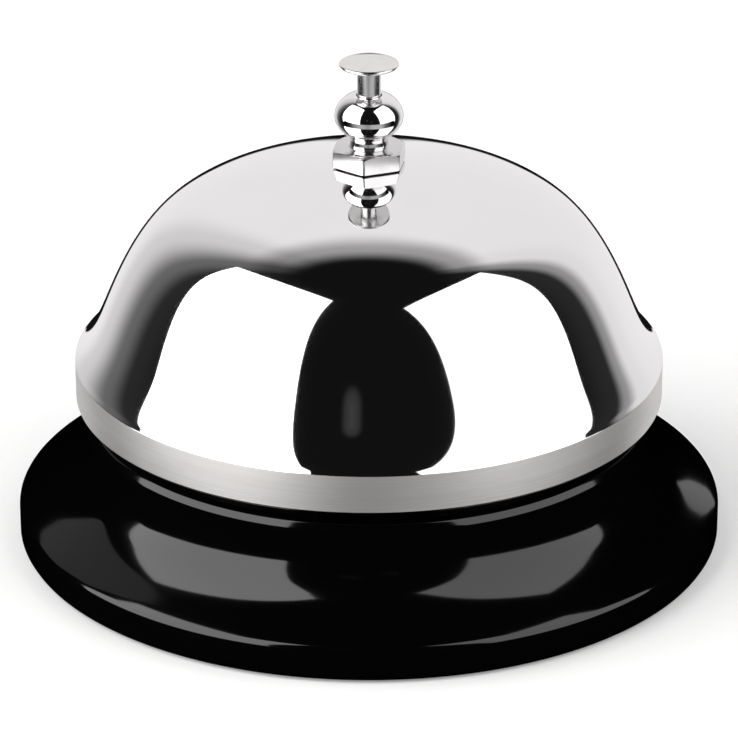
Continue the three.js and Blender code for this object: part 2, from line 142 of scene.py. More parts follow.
bm = bmesh.new()
bmesh.ops.create_uvsphere(bm, u_segments=64, v_segments=32, radius=6.0)
wall_mesh = bpy.data.meshes.new("rear_wall")
bm.to_mesh(wall_mesh)
bm.free()
rear_wall = bpy.data.objects.new("rear_wall", wall_mesh)
scene.collection.objects.link(rear_wall)
m = bpy.data.materials.new("rear_wall_light")
t = nodes_of(m)
out = add(t, "ShaderNodeOutputMaterial")
wall_light = add(t, "ShaderNodeEmission", in_Strength=1.0)
coord = add(t, "ShaderNodeTexCoord")
unit = add(t, "ShaderNodeVectorMath", operation="NORMALIZE")
link(t, coord.outputs["Object"], unit.inputs[0])
sep = add(t, "ShaderNodeSeparateXYZ")
link(t, unit.outputs[0], sep.inputs[0])
link(t, wall_light.outputs[0], out.inputs[0])
wall_mesh.materials.append(m)
rear_wall.visible_camera = False


def ramp(tree, source, stops, interpolation="LINEAR"):
    node = add(tree, "ShaderNodeValToRGB")
    node.color_ramp.interpolation = interpolation
    e = node.color_ramp.elements
    while len(e) < len(stops):
        e.new(0.5)
    for item, (pos, value) in zip(e, stops):
        item.position = pos
        item.color = (value, value, value, 1) if isinstance(value, (int, float)) else (*value, 1)
    link(tree, source, node.inputs[0])
    return node.outputs[0]


def calc(tree, operation, *inputs, clamp=False):
    node = add(tree, "ShaderNodeMath", operation=operation, use_clamp=clamp)
    for i, value in enumerate(inputs):
        if isinstance(value, (int, float)):
            node.inputs[i].default_value = value
        else:
            link(tree, value, node.inputs[i])
    return node.outputs[0]


# The wall's light fades out towards the sides (softly on the left) and overhead.
x, y, z = sep.outputs
flat = calc(t, "SQRT", calc(t, "ADD", calc(t, "MULTIPLY", x, x), calc(t, "MULTIPLY", y, y)))
toward = calc(t, "DIVIDE", y, calc(t, "MAXIMUM", flat, 0.001))
rear_left = ramp(t, toward, [(0.0, 0.0), (0.36, 0.02), (0.55, 0.16), (0.80, 0.78), (0.92, 1.0)], "EASE")
rear_right = ramp(t, toward, [(0.0, 0.0), (0.40, 0.02), (0.50, 0.35), (0.62, 0.92), (0.80, 1.0)], "EASE")
on_left = calc(t, "LESS_THAN", x, 0.0)
sides = add(t, "ShaderNodeMix", data_type="RGBA")
link(t, on_left, sides.inputs[0])
link(t, rear_right, sides.inputs[6])
link(t, rear_left, sides.inputs[7])
height = ramp(t, calc(t, "MULTIPLY_ADD", z, 0.5, 0.5), [(0.0, 1.0), (0.90, 1.0), (0.945, 0.42), (0.975, 0.0)], "EASE")
# Its lower edge is highest straight behind the bell.
behind = calc(t, "MULTIPLY_ADD", toward, 9.0, -7.9, clamp=True)
low_edge = ramp(t, calc(t, "MULTIPLY_ADD", behind, -0.345, calc(t, "MULTIPLY_ADD", z, 0.5, 0.75)), [(0.0, 0.0), (0.345, 0.0), (0.37, 1.0)], "EASE")
height = calc(t, "MULTIPLY", height, low_edge)
lit = add(t, "ShaderNodeMix", data_type="RGBA", blend_type="MULTIPLY")
lit.inputs[0].default_value = 1.0
link(t, sides.outputs[2], lit.inputs[6])
link(t, height, lit.inputs[7])
level = add(t, "ShaderNodeMix", data_type="RGBA")
level.inputs[6].default_value = DARK
level.inputs[7].default_value = (0.91, 0.895, 0.90, 1)
link(t, lit.outputs[2], level.inputs[0])
link(t, level.outputs[2], wall_light.inputs["Color"])


def heading(azimuth, elevation):
    """Unit vector. Azimuth in degrees from the front (-Y) towards +X."""
    a, e = math.radians(azimuth), math.radians(elevation)
    return Vector((math.sin(a) * math.cos(e), -math.cos(a) * math.cos(e), math.sin(e)))


def panel(name, corners, facing, distance, radiance, clear=False):
    """A flat light panel whose corners lie at these (azimuth, elevation) headings."""
    n = heading(*facing)
    mesh = bpy.data.meshes.new(name)
    points = [heading(*c) * (distance / heading(*c).dot(n)) + Vector((0, 0, 0.03)) for c in corners]
    mesh.from_pydata(points, [], [list(range(len(points)))])
    o = bpy.data.objects.new(name, mesh)
    scene.collection.objects.link(o)
    m = bpy.data.materials.new(name)
    t = nodes_of(m)
    out = add(t, "ShaderNodeOutputMaterial")
    em = add(t, "ShaderNodeEmission", in_Color=(1.0, 0.995, 0.99, 1), in_Strength=radiance)
    if clear:
        both = add(t, "ShaderNodeAddShader")
        link(t, em.outputs[0], both.inputs[0])
        link(t, add(t, "ShaderNodeBsdfTransparent").outputs[0], both.inputs[1])
        link(t, both.outputs[0], out.inputs[0])
    else:
        link(t, em.outputs[0], out.inputs[0])
    mesh.materials.append(m)
    o.visible_camera = False
    return o


def shine(light, piece, state):
    """INCLUDE: the light falls on that piece only. EXCLUDE: on everything but that piece."""
    receivers = bpy.data.collections.new(light.name + "_receivers")
    receivers.objects.link(piece)
    receivers.collection_objects[0].light_linking.link_state = state
    light.light_linking.receiver_collection = receivers


SOFT = 3.0
panel("softbox_left", [(-30, -11), (-36, 69), (-118, 51), (-93, -11)], (-66, 36), 1.1, SOFT)
panel("softbox_right", [(38, -11), (28, 63), (112, 58), (93, -11)], (68, 36), 1.1, 0.6 * SOFT)
# Pale table round the front of the bell, as the upright faces mirror it.
bm = bmesh.new()
rows = [[bm.verts.new(Vector((math.sin(math.radians(a)) * r, -math.cos(math.radians(a)) * r, 0.00002))) for r in (0.05, 0.6)] for a in range(-90, 91, 10)]
for p_, q_ in zip(rows, rows[1:]):
    bm.faces.new([p_[0], p_[1], q_[1], q_[0]])
table_mesh = bpy.data.meshes.new("table_glow")
bm.to_mesh(table_mesh)
bm.free()
table_glow = bpy.data.objects.new("table_glow", table_mesh)
scene.collection.objects.link(table_glow)
m = bpy.data.materials.new("table_glow_light")
t = nodes_of(m)
out = add(t, "ShaderNodeOutputMaterial")
em = add(t, "ShaderNodeEmission", in_Color=(1.0, 0.99, 0.985, 1))
sep = add(t, "ShaderNodeSeparateXYZ")
link(t, add(t, "ShaderNodeTexCoord").outputs["Object"], sep.inputs[0])
across = calc(t, "DIVIDE", sep.outputs[0], calc(t, "SQRT", calc(t, "ADD", calc(t, "MULTIPLY", sep.outputs[0], sep.outputs[0]), calc(t, "MULTIPLY", sep.outputs[1], sep.outputs[1]))))
link(t, ramp(t, calc(t, "MULTIPLY_ADD", across, 0.5, 0.5), [(0.0, 0.0), (0.04, 0.03), (0.12, 0.30), (0.25, 0.50), (0.48, 0.32), (0.62, 0.50), (0.82, 0.50), (0.95, 0.10), (1.0, 0.0)], "EASE"), em.inputs["Strength"])
link(t, em.outputs[0], out.inputs[0])
table_mesh.materials.append(m)
for ray in ("camera", "diffuse", "shadow"):
    setattr(table_glow, "visible_" + ray, False)


def glow_spot(name, azimuth, elevation, width, height, radiance):
    """A faint, soft-edged spot of light."""
    n = heading(azimuth, elevation)
    side = Vector((-n.y, n.x, 0)).normalized()
    up = n.cross(side)
    w, h = math.tan(math.radians(width)), math.tan(math.radians(height))
    mesh = bpy.data.meshes.new(name)
    mesh.from_pydata([n + side * w * a + up * h * b + Vector((0, 0, 0.03)) for a, b in ((-1, -1), (1, -1), (1, 1), (-1, 1))], [], [(0, 1, 2, 3)])
    uv = mesh.uv_layers.new(name="spot")
    for loop, xy in zip(uv.data, ((-1, -1), (1, -1), (1, 1), (-1, 1))):
        loop.uv = xy
    o = bpy.data.objects.new(name, mesh)
    scene.collection.objects.link(o)
    m = bpy.data.materials.new(name)
    t = nodes_of(m)
    out = add(t, "ShaderNodeOutputMaterial")
    em = add(t, "ShaderNodeEmission", in_Color=(1, 0.98, 0.97, 1))
    length = add(t, "ShaderNodeVectorMath", operation="LENGTH")
    link(t, add(t, "ShaderNodeTexCoord").outputs["UV"], length.inputs[0])
    link(t, ramp(t, length.outputs["Value"], [(0.0, radiance), (0.35, 0.75 * radiance), (0.95, DARK[0])], "EASE"), em.inputs["Strength"])
    link(t, em.outputs[0], out.inputs[0])
    mesh.materials.append(m)
    o.visible_camera = False


glow_spot("glint_right", 8.0, 12.0, 4.0, 6.0, 0.06)
glow_spot("glint_left", -7.0, 20.0, 5.0, 6.0, 0.055)


# ---------------------------------------------------------------- mesh helpers
def rounded(points, closed, n=5):
    """[(r, z) or (r, z, fillet)] to a list with each fillet drawn as an arc."""
    result = []
    m = len(points)
    for i, p in enumerate(points):
        f = p[2] if len(p) > 2 else 0.0
        if not f or (not closed and i in (0, m - 1)):
            result.append((p[0], p[1]))
            continue
        here = Vector(p[:2])
        a = Vector(points[i - 1][:2]) - here
        b = Vector(points[(i + 1) % m][:2]) - here
        la, lb = a.length, b.length
        a.normalize()
        b.normalize()
        half = a.angle(b) / 2
        t_len = min(f / math.tan(half), 0.49 * la, 0.49 * lb)
        f = t_len * math.tan(half)
        centre = here + (a + b).normalized() * (f / math.sin(half))
        s, e = here + a * t_len - centre, here + b * t_len - centre
        total = s.angle(e)
        for k in range(n + 1):
            u = k / n
            v = (s * math.sin((1 - u) * total) + e * math.sin(u * total)) / math.sin(total)
            result.append(tuple(centre + v))
    return result


def bspline(control, count):
    """Clamped uniform cubic B-spline through its end control points."""
    n, p = len(control), 3
    knots = [0.0] * p + [i / (n - p) for i in range(n - p + 1)] + [1.0] * p
    result = []
    for j in range(count + 1):
        u = min(j / count, 1 - 1e-9)
        k = max(i for i in range(p, n) if knots[i] <= u)
        d = [Vector(control[i]) for i in range(k - p, k + 1)]
        for r in range(1, p + 1):
            for i in range(p, r - 1, -1):
                lo, hi = knots[i + k - p], knots[i + 1 + k - r]
                w = (u - lo) / (hi - lo)
                d[i] = d[i - 1] * (1 - w) + d[i] * w
        result.append(tuple(d[p]))
    return result


def inset(line, distance):
    result = []
    for i, (r, z) in enumerate(line):
        a, b = line[max(0, i - 1)], line[min(len(line) - 1, i + 1)]
        d = math.hypot(b[0] - a[0], b[1] - a[1])
        result.append((r + distance * (b[1] - a[1]) / d, z - distance * (b[0] - a[0]) / d))
    return result


def finish_mesh(name, verts, faces, sharp=38):
    mesh = bpy.data.meshes.new(name)
    mesh.from_pydata([Vector(v) * MM for v in verts], [], faces)
    bm = bmesh.new()
    bm.from_mesh(mesh)
    bmesh.ops.remove_doubles(bm, verts=bm.verts, dist=1e-7)
    bmesh.ops.recalc_face_normals(bm, faces=bm.faces)
    if bm.calc_volume(signed=True) < 0:
        bmesh.ops.reverse_faces(bm, faces=bm.faces)
    bm.to_mesh(mesh)
    bm.free()
    mesh.shade_smooth()
    mesh.set_sharp_from_angle(angle=math.radians(sharp))
    return mesh


def piece(name, mesh, material, body, replaced, slot, place=None):
    o = bpy.data.objects.new(name, mesh)
    if place is not None:
        o.data.transform(place)
    scene.collection.objects.link(o)
    if material is not None:
        mesh.materials.append(material)
    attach(o, body)
    if replaced:
        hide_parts(replaced)
    return o


def lathe(name, loop, segments, closed=True, sharp=38):
    """Turned about Z. An entry of loop is (r, z) or a function of the angle that gives it."""
    verts, index = [], []
    angles = [2 * math.pi * j / segments for j in range(segments)]
    for entry in loop:
        if not callable(entry) and entry[0] < 1e-6:
            index.append([len(verts)] * segments)
            verts.append((0.0, 0.0, entry[1]))
            continue
        row = []
        for a in angles:
            r, z = entry(a) if callable(entry) else entry
            row.append(len(verts))
            verts.append((r * math.cos(a), r * math.sin(a), z))
        index.append(row)
    faces = []
    rows = len(index)
    for i in range(rows if closed else rows - 1):
        a, b = index[i], index[(i + 1) % rows]
        for j in range(segments):
            k = (j + 1) % segments
            quad = [a[j], a[k], b[k], b[j]]
            quad = [v for n_, v in enumerate(quad) if v not in quad[:n_]]
            if len(quad) > 2:
                faces.append(quad)
    return finish_mesh(name, verts, faces, sharp)


def plate(name, loops, thickness, edge=0.12, steps=3, sharp=38):
    """Flat piece in the XY plane, from z = 0 to its thickness, with rounded edges. loops[0] is the outline, the others are holes."""
    oriented = []
    for i, loop in enumerate(loops):
        area = sum(p[0] * q[1] - q[0] * p[1] for p, q in zip(loop, loop[1:] + loop[:1]))
        oriented.append(loop if (area > 0) == (i == 0) else loop[::-1])
    layers = []
    for k in range(steps + 1):
        u = math.pi / 2 * k / steps
        layers.append((edge * (1 - math.sin(u)), edge * (1 - math.cos(u))))
    layers = layers + [(d, thickness - z) for d, z in reversed(layers)]
    verts, faces, rings = [], [], []
    for loop in oriented:
        m = len(loop)
        normals = []
        for i in range(m):
            a, b = Vector(loop[i - 1]), Vector(loop[(i + 1) % m])
            d = (b - a).normalized()
            normals.append(Vector((-d.y, d.x)))
        rows = []
        for d, z in layers:
            row = []
            for p, nrm in zip(loop, normals):
                row.append(len(verts))
                verts.append((p[0] + nrm.x * d, p[1] + nrm.y * d, z))
            rows.append(row)
        for a, b in zip(rows, rows[1:]):
            for j in range(m):
                k = (j + 1) % m
                faces.append([a[j], a[k], b[k], b[j]])
        rings.append(rows)
    for which, flip in ((0, True), (-1, False)):
        flat = [[Vector(verts[v]) for v in rows[which]] for rows in rings]
        ids = [v for rows in rings for v in rows[which]]
        for tri in tessellate_polygon(flat):
            f = [ids[v] for v in tri]
            faces.append(f[::-1] if flip else f)
    return finish_mesh(name, verts, faces, sharp)


def arc(cx, cy, r, start, stop, n):
    return [(cx + r * math.cos(start + (stop - start) * i / n), cy + r * math.sin(start + (stop - start) * i / n)) for i in range(n + 1)]


# ---------------------------------------------------------------- materials
def surface(name, **values):
    m = bpy.data.materials.new(name)
    tree = nodes_of(m)
    out = add(tree, "ShaderNodeOutputMaterial")
    bsdf = add(tree, "ShaderNodeBsdfPrincipled")
    for key, value in values.items():
        bsdf.inputs[key].default_value = value
    link(tree, bsdf.outputs[0], out.inputs[0])
    return m, tree, bsdf


def noise(tree, vector, scale, detail=3.0, rough=0.5, distortion=0.0):
    node = add(tree, "ShaderNodeTexNoise")
    node.inputs["Scale"].default_value = scale
    node.inputs["Detail"].default_value = detail
    node.inputs["Roughness"].default_value = rough
    node.inputs["Distortion"].default_value = distortion
    link(tree, vector, node.inputs["Vector"])
    return node.outputs["Fac"]


def mix_colour(tree, factor, a, b):
    node = add(tree, "ShaderNodeMix", data_type="RGBA")
    link(tree, factor, node.inputs[0])
    for value, k in ((a, 6), (b, 7)):
        if isinstance(value, tuple):
            node.inputs[k].default_value = (*value, 1) if len(value) == 3 else value
        else:
            link(tree, value, node.inputs[k])
    return node.outputs[2]


def bump(tree, height, strength, distance, normal=None):
    node = add(tree, "ShaderNodeBump")
    node.inputs["Strength"].default_value = strength
    node.inputs["Distance"].default_value = distance
    link(tree, height, node.inputs["Height"])
    if normal is not None:
        link(tree, normal, node.inputs["Normal"])
    return node.outputs["Normal"]


def object_coords(tree):
    return add(tree, "ShaderNodeTexCoord").outputs["Object"]


def cylindrical(tree, per_turn, per_metre_r, per_metre_z):
    """Coordinates that run round the Z axis: angle, radius and height, each with its own scale."""
    sep = add(tree, "ShaderNodeSeparateXYZ")
    link(tree, object_coords(tree), sep.inputs[0])
    x, y, z = sep.outputs
    angle = calc(tree, "ARCTAN2", y, x)
    radius = calc(tree, "SQRT", calc(tree, "ADD", calc(tree, "MULTIPLY", x, x), calc(tree, "MULTIPLY", y, y)))
    # The angle is taken as a point on a circle, so that there is no seam.
    c = calc(tree, "MULTIPLY", calc(tree, "COSINE", angle), per_turn)
    s = calc(tree, "MULTIPLY", calc(tree, "SINE", angle), per_turn)
    h = calc(tree, "ADD", calc(tree, "MULTIPLY", radius, per_metre_r), calc(tree, "MULTIPLY", z, per_metre_z))
    comb = add(tree, "ShaderNodeCombineXYZ")
    for source, target in ((c, 0), (s, 1), (h, 2)):
        link(tree, source, comb.inputs[target])
    return comb.outputs[0]


def polished(name, colour, low, high, smudge=55.0, scratch=0.02):
    """Mirror-bright plating with faint smears, hairline swirls and a very slight waviness."""
    m, tree, bsdf = surface(name, Metallic=1.0)
    co = object_coords(tree)
    n = noise(tree, co, smudge, 4.0, 0.55, 0.4)
    fac = ramp(tree, n, [(0.35, 0.0), (0.75, 1.0)])
    c = mix_colour(tree, fac, colour, tuple(v * 0.965 for v in colour))
    link(tree, c, bsdf.inputs["Base Color"])
    r = calc(tree, "MULTIPLY_ADD", fac, high - low, low)
    link(tree, r, bsdf.inputs["Roughness"])
    swirl = noise(tree, cylindrical(tree, 3.0, 5200.0, 5200.0), 1.0, 2.0, 0.6)
    waves = noise(tree, co, 30.0, 1.0)
    nrm = bump(tree, waves, 0.05, 0.00004)
    link(tree, bump(tree, swirl, scratch, 0.00001, nrm), bsdf.inputs["Normal"])
    return m


CHROME = polished("chrome_dome", (0.86, 0.855, 0.86), 0.025, 0.05)
CHROME_SMALL = polished("chrome_finial", (0.84, 0.835, 0.84), 0.04, 0.09, 260.0, 0.03)
CHROME_SATIN = polished("chrome_hexagon", (0.66, 0.655, 0.655), 0.12, 0.18, 260.0, 0.02)

# Turned band: fine lines round the rim, uneven from one stretch to the next.
BAND, tree, bsdf = surface("chrome_band_brushed", Metallic=1.0, Anisotropic=0.6)
bsdf.inputs["Anisotropic Rotation"].default_value = 0.25
lines = noise(tree, cylindrical(tree, 0.9, 0.0, 9000.0), 1.0, 4.0, 0.75)
broad = noise(tree, cylindrical(tree, 2.6, 0.0, 260.0), 1.0, 3.0, 0.6)
shade = ramp(tree, calc(tree, "MULTIPLY_ADD", lines, 0.6, calc(tree, "MULTIPLY", broad, 0.4)), [(0.30, 0.0), (0.70, 1.0)])
link(tree, mix_colour(tree, shade, (0.70, 0.685, 0.675), (0.88, 0.865, 0.855)), bsdf.inputs["Base Color"])
link(tree, calc(tree, "MULTIPLY_ADD", lines, 0.16, 0.42), bsdf.inputs["Roughness"])
tangent = add(tree, "ShaderNodeTangent", direction_type="RADIAL", axis="Z")
link(tree, tangent.outputs[0], bsdf.inputs["Tangent"])
link(tree, bump(tree, lines, 0.35, 0.00003), bsdf.inputs["Normal"])

# Inside of the gong: unpolished, dull plating with a spun grain.
INSIDE, tree, bsdf = surface("gong_inside_plating", Metallic=1.0)
spun = noise(tree, cylindrical(tree, 1.2, 2600.0, 2600.0), 1.0, 4.0, 0.7)
cloud = noise(tree, object_coords(tree), 90.0, 4.0)
link(tree, mix_colour(tree, cloud, (0.50, 0.49, 0.47), (0.66, 0.65, 0.63)), bsdf.inputs["Base Color"])
link(tree, calc(tree, "MULTIPLY_ADD", spun, 0.25, 0.28), bsdf.inputs["Roughness"])
link(tree, bump(tree, spun, 0.3, 0.00005), bsdf.inputs["Normal"])

# Black enamel: deep gloss, slight orange peel, dust-fine specks and hazier spots scattered all over.
ENAMEL, tree, bsdf = surface("enamel_black", Metallic=0.0, IOR=1.52)
bsdf.inputs["Coat Weight"].default_value = 0.1
bsdf.inputs["Coat Roughness"].default_value = 0.03
co = object_coords(tree)
peel = noise(tree, co, 900.0, 2.0, 0.5)
wave = noise(tree, co, 85.0, 1.0)
haze = noise(tree, co, 60.0, 5.0, 0.6, 0.3)
speck = noise(tree, co, 2600.0, 1.0)
dust = ramp(tree, speck, [(0.74, 0.0), (0.78, 1.0)])
link(tree, mix_colour(tree, dust, (0.0012, 0.0011, 0.0012), (0.0045, 0.0042, 0.0045)), bsdf.inputs["Base Color"])
link(tree, calc(tree, "MULTIPLY_ADD", haze, 0.07, 0.045), bsdf.inputs["Roughness"])
link(tree, bump(tree, peel, 0.05, 0.00002, bump(tree, wave, 0.05, 0.0001)), bsdf.inputs["Normal"])

RUBBER, tree, bsdf = surface("rubber_black", Metallic=0.0, IOR=1.5)
co = object_coords(tree)
grain = noise(tree, co, 1500.0, 4.0, 0.7)
cloud = noise(tree, co, 120.0, 3.0)
link(tree, mix_colour(tree, cloud, (0.012, 0.012, 0.012), (0.030, 0.029, 0.028)), bsdf.inputs["Base Color"])
link(tree, calc(tree, "MULTIPLY_ADD", grain, 0.2, 0.65), bsdf.inputs["Roughness"])
link(tree, bump(tree, grain, 0.5, 0.00008), bsdf.inputs["Normal"])


def turned_metal(name, light, dark, rough, pitch=5200.0, wear=180.0):
    """Machined or pressed metal: faint tool lines, cloudy plating and brighter rubbed spots."""
    m, tree, bsdf = surface(name, Metallic=1.0)
    co = object_coords(tree)
    cloud = noise(tree, co, wear, 5.0, 0.6, 0.5)
    fine = noise(tree, cylindrical(tree, 2.0, pitch, pitch), 1.0, 3.0, 0.7)
    link(tree, mix_colour(tree, ramp(tree, cloud, [(0.3, 0.0), (0.72, 1.0)]), dark, light), bsdf.inputs["Base Color"])
    link(tree, calc(tree, "MULTIPLY_ADD", cloud, 0.18, calc(tree, "MULTIPLY_ADD", fine, 0.10, rough - 0.1)), bsdf.inputs["Roughness"])
    link(tree, bump(tree, fine, 0.22, 0.00003, bump(tree, cloud, 0.1, 0.0001)), bsdf.inputs["Normal"])
    return m


PLATED = turned_metal("steel_zinc_plated", (0.66, 0.65, 0.62), (0.47, 0.46, 0.43), 0.30)
SPRING = turned_metal("steel_spring_wire", (0.55, 0.55, 0.56), (0.34, 0.34, 0.35), 0.28)
BRASS = turned_metal("brass_turned", (0.83, 0.62, 0.30), (0.62, 0.43, 0.18), 0.28)
ROD_STEEL = polished("chrome_rod", (0.82, 0.82, 0.83), 0.16, 0.24, 300.0, 0.08)

FIBRE, tree, bsdf = surface("fibre_dark", Metallic=0.0, IOR=1.5)
co = object_coords(tree)
layers_ = noise(tree, co, 900.0, 5.0, 0.7)
link(tree, mix_colour(tree, layers_, (0.02, 0.009, 0.006), (0.055, 0.026, 0.018)), bsdf.inputs["Base Color"])
link(tree, calc(tree, "MULTIPLY_ADD", layers_, 0.25, 0.55), bsdf.inputs["Roughness"])
link(tree, bump(tree, layers_, 0.4, 0.00005), bsdf.inputs["Normal"])

# Button: polished disc with the fine rings that turning leaves on its top.
BUTTON, tree, bsdf = surface("chrome_button_turned", Metallic=1.0, Anisotropic=0.4)
rings = noise(tree, cylindrical(tree, 0.5, 9000.0, 0.0), 1.0, 3.0, 0.7)
smear = noise(tree, object_coords(tree), 420.0, 4.0, 0.6, 0.6)
link(tree, mix_colour(tree, smear, (0.72, 0.71, 0.70), (0.84, 0.83, 0.82)), bsdf.inputs["Base Color"])
link(tree, calc(tree, "MULTIPLY_ADD", rings, 0.14, 0.10), bsdf.inputs["Roughness"])
tangent = add(tree, "ShaderNodeTangent", direction_type="RADIAL", axis="Z")
link(tree, tangent.outputs[0], bsdf.inputs["Tangent"])
link(tree, bump(tree, rings, 0.25, 0.00002), bsdf.inputs["Normal"])


# ---------------------------------------------------------------- gong
RIM_R, RIM_Z, BAND_TOP, GONG_TOP, GONG_T, GONG_HOLE = 35.3, 17.8, 22.9, 46.82, 1.0, 2.65
DOME = [(4.9, 46.82), (7.6, 46.42), (12.834, 45.165), (19.363, 43.457), (25.171, 40.228), (28.993, 34.952), (31.616, 29.123), (33.348, 24.609), (34.95, 22.9)]
dome = bspline(DOME, 110)
lining = [(r, z) for r, z in inset(dome, GONG_T) if z > BAND_TOP + 0.75 and r < 33.6][::-1]
gong_loop = rounded(
    [
        (GONG_HOLE, GONG_TOP, 0.12),
        *dome,
        (RIM_R, BAND_TOP - 0.3, 0.12),
        (RIM_R, RIM_Z + 0.28, 0.12),
        (RIM_R - 0.28, RIM_Z, 0.1),
        (RIM_R - 0.95, RIM_Z, 0.1),
        (RIM_R - 1.15, RIM_Z + 0.2, 0.1),
        (RIM_R - 1.15, BAND_TOP - 0.8, 0.5),
        *lining,
        (GONG_HOLE, GONG_TOP - GONG_T, 0.1),
    ],
    True,
    4,
)
gong_mesh = lathe("gong_bell", gong_loop, 256, True, 30)
gong = piece("gong_bell", gong_mesh, CHROME, "stand", "gong", "gong_chrome")
gong_mesh.materials.append(BAND)
gong_mesh.materials.append(INSIDE)
for poly in gong_mesh.polygons:
    c = poly.center / MM
    r = math.hypot(c.x, c.y)
    outward = poly.normal.x * c.x + poly.normal.y * c.y
    if r > RIM_R - 0.04 and RIM_Z + 0.3 < c.z < BAND_TOP - 0.3:
        poly.material_index = 1
    elif c.z < BAND_TOP - 0.2 and (outward < 0 or poly.normal.z < -0.9):
        poly.material_index = 2
    elif outward * 1.0 < 0 or (poly.normal.z < -0.15 and r < 34.6):
        poly.material_index = 2

# ---------------------------------------------------------------- base
BASE_R, SKIRT_Z, DECK_Z, SHEET, DECK_HOLE = 42.5, 0.25, 16.3, 1.0, 6.0
FLANK = [(41.494, 4.862), (39.815, 5.81), (38.114, 6.736), (36.406, 8.102), (35.306, 9.28), (34.541, 11.473), (34.4, 14.3)]
flank = bspline(FLANK, 40)
outer = [(BASE_R, 0.75, 0.3), (BASE_R, 4.238, 0.85), *flank, (34.36, 15.2, 0.6), (33.95, 15.95, 0.6), (33.2, 16.22, 0.8), (31.6, DECK_Z)]
under = inset([p[:2] for p in outer[2:-1]], -SHEET)[::-1]
base_loop = rounded(
    [
        *outer,
        (DECK_HOLE, DECK_Z, 0.2),
        (DECK_HOLE, DECK_Z - SHEET, 0.2),
        *[(r, min(z, DECK_Z - SHEET)) for r, z in under],
        (BASE_R - SHEET, 3.5, 0.5),
        (BASE_R - SHEET, 2.1, 0.15),
        (38.6, 2.1, 0.25),
        (38.6, 1.3, 0.25),
        (BASE_R - 0.9, 1.3, 0.1),
        (BASE_R - 0.9, 0.55, 0.2),
        (BASE_R - 0.65, SKIRT_Z + 0.02, 0.1),
        (BASE_R - 0.3, SKIRT_Z, 0.2),
    ],
    True,
    5,
)
base_mesh = lathe("base_enamelled", base_loop, 256, True, 32)


def drilled(mesh, cutters):
    """The mesh with closed cutter meshes taken out of it."""
    o = bpy.data.objects.new("drill_target", mesh)
    scene.collection.objects.link(o)
    tools = []
    for c in cutters:
        k = bpy.data.objects.new("drill", c)
        scene.collection.objects.link(k)
        mod = o.modifiers.new("drill", "BOOLEAN")
        mod.operation = "DIFFERENCE"
        mod.solver = "EXACT"
        mod.object = k
        tools.append(k)
    graph = bpy.context.evaluated_depsgraph_get()
    result = bpy.data.meshes.new_from_object(o.evaluated_get(graph))
    bm = bmesh.new()
    bm.from_mesh(result)
    bmesh.ops.remove_doubles(bm, verts=bm.verts, dist=2e-6)
    bmesh.ops.dissolve_degenerate(bm, edges=bm.edges, dist=1e-7)
    loose = [e for e in bm.edges if e.is_boundary]
    if loose:
        bmesh.ops.holes_fill(bm, edges=loose, sides=0)
    bm.to_mesh(result)
    bm.free()
    for x in [o, *tools]:
        bpy.data.objects.remove(x)
    result.name = mesh.name
    return result


def drill(radius, z0, z1, place=None, segments=48):
    mesh = lathe("drill", [(0, z0), (radius, z0), (radius, z1), (0, z1)], segments, False)
    if place is not None:
        mesh.transform(place)
    return mesh


RIVET_Y, RIVET_R = 11.4, 1.5
at_y = lambda y: Matrix.Translation((0, y * MM, 0))
base_mesh = drilled(base_mesh, [drill(RIVET_R + 0.1, 13, 19, at_y(s * RIVET_Y)) for s in (1, -1)])
base_mesh.set_sharp_from_angle(angle=math.radians(32))
base = piece("base_enamelled", base_mesh, ENAMEL, "stand", "base_shell", "enamel")
# The base mirrors the table, not the wall: of the wall it shows only two lit gaps.
shine(rear_wall, base, "EXCLUDE")
shine(table_glow, base, "EXCLUDE")
shine(panel("gap_left", [(-120, 20), (-122, 56), (-146, 50), (-150, 24)], (-135, 36), 1.6, 0.30, True), base, "INCLUDE")
shine(panel("gap_right", [(148, 8), (146, 24), (158, 26), (162, 12)], (153, 17), 1.6, 0.75, True), base, "INCLUDE")

foot_loop = rounded([(38.7, 0.12, 0.1), (38.85, 0, 0.1), (39.5, 0, 0.05), (39.65, 0.25, 0.1), (39.95, 0.25, 0.1), (40.1, 0, 0.05), (41.1, 0, 0.1), (41.45, 0.25, 0.15), (41.45, 1.25, 0.1), (38.7, 1.25, 0.1)], True, 3)
foot_mesh = lathe("foot_ring_rubber", foot_loop, 192)
piece("foot_ring_rubber", foot_mesh, RUBBER, "stand", "foot_ring", "rubber")

# ---------------------------------------------------------------- finial, rod and button
HEX_AF, HEX_Z, HEX_TOP, HEX_TURN = 8.0, 46.98, 49.2, math.radians(-8.5)
BALL_R, BALL_H, BALL_Z, LIP_R, NECK_R, BORE_R = 4.06, 3.02, 52.93, 1.95, 2.25, 1.5
SHANK_R, SHANK_Z = 2.5, 41.0


def hexagon(angle):
    """Radius of the hexagon, its corners just eased."""
    p = 90.0
    total = 0.0
    for k in range(6):
        c = math.cos(angle - HEX_TURN - math.pi / 3 * k)
        if c > 0:
            total += c**p
    return HEX_AF / 2 / total ** (1 / p)


CONE = [(5.0, HEX_TOP - 0.88), (4.72, HEX_TOP - 0.6), (4.35, HEX_TOP - 0.22), (3.95, HEX_TOP - 0.05), (3.5, HEX_TOP)]


def cone_height(r):
    for (r0, z0), (r1, z1) in zip(CONE, CONE[1:]):
        if r1 <= r <= r0:
            return z0 + (z1 - z0) * (r0 - r) / (r0 - r1)
    return HEX_TOP


def on_cone(u):
    def point(a):
        h = hexagon(a)
        r = h + (3.5 - h) * u
        return (r, cone_height(r))

    return point


def wall(u):
    def point(a):
        h = hexagon(a)
        low = HEX_Z + 0.06 + max(0.0, (h - 4.5)) * 0.7
        return (h, low + (cone_height(h) - low) * u)

    return point


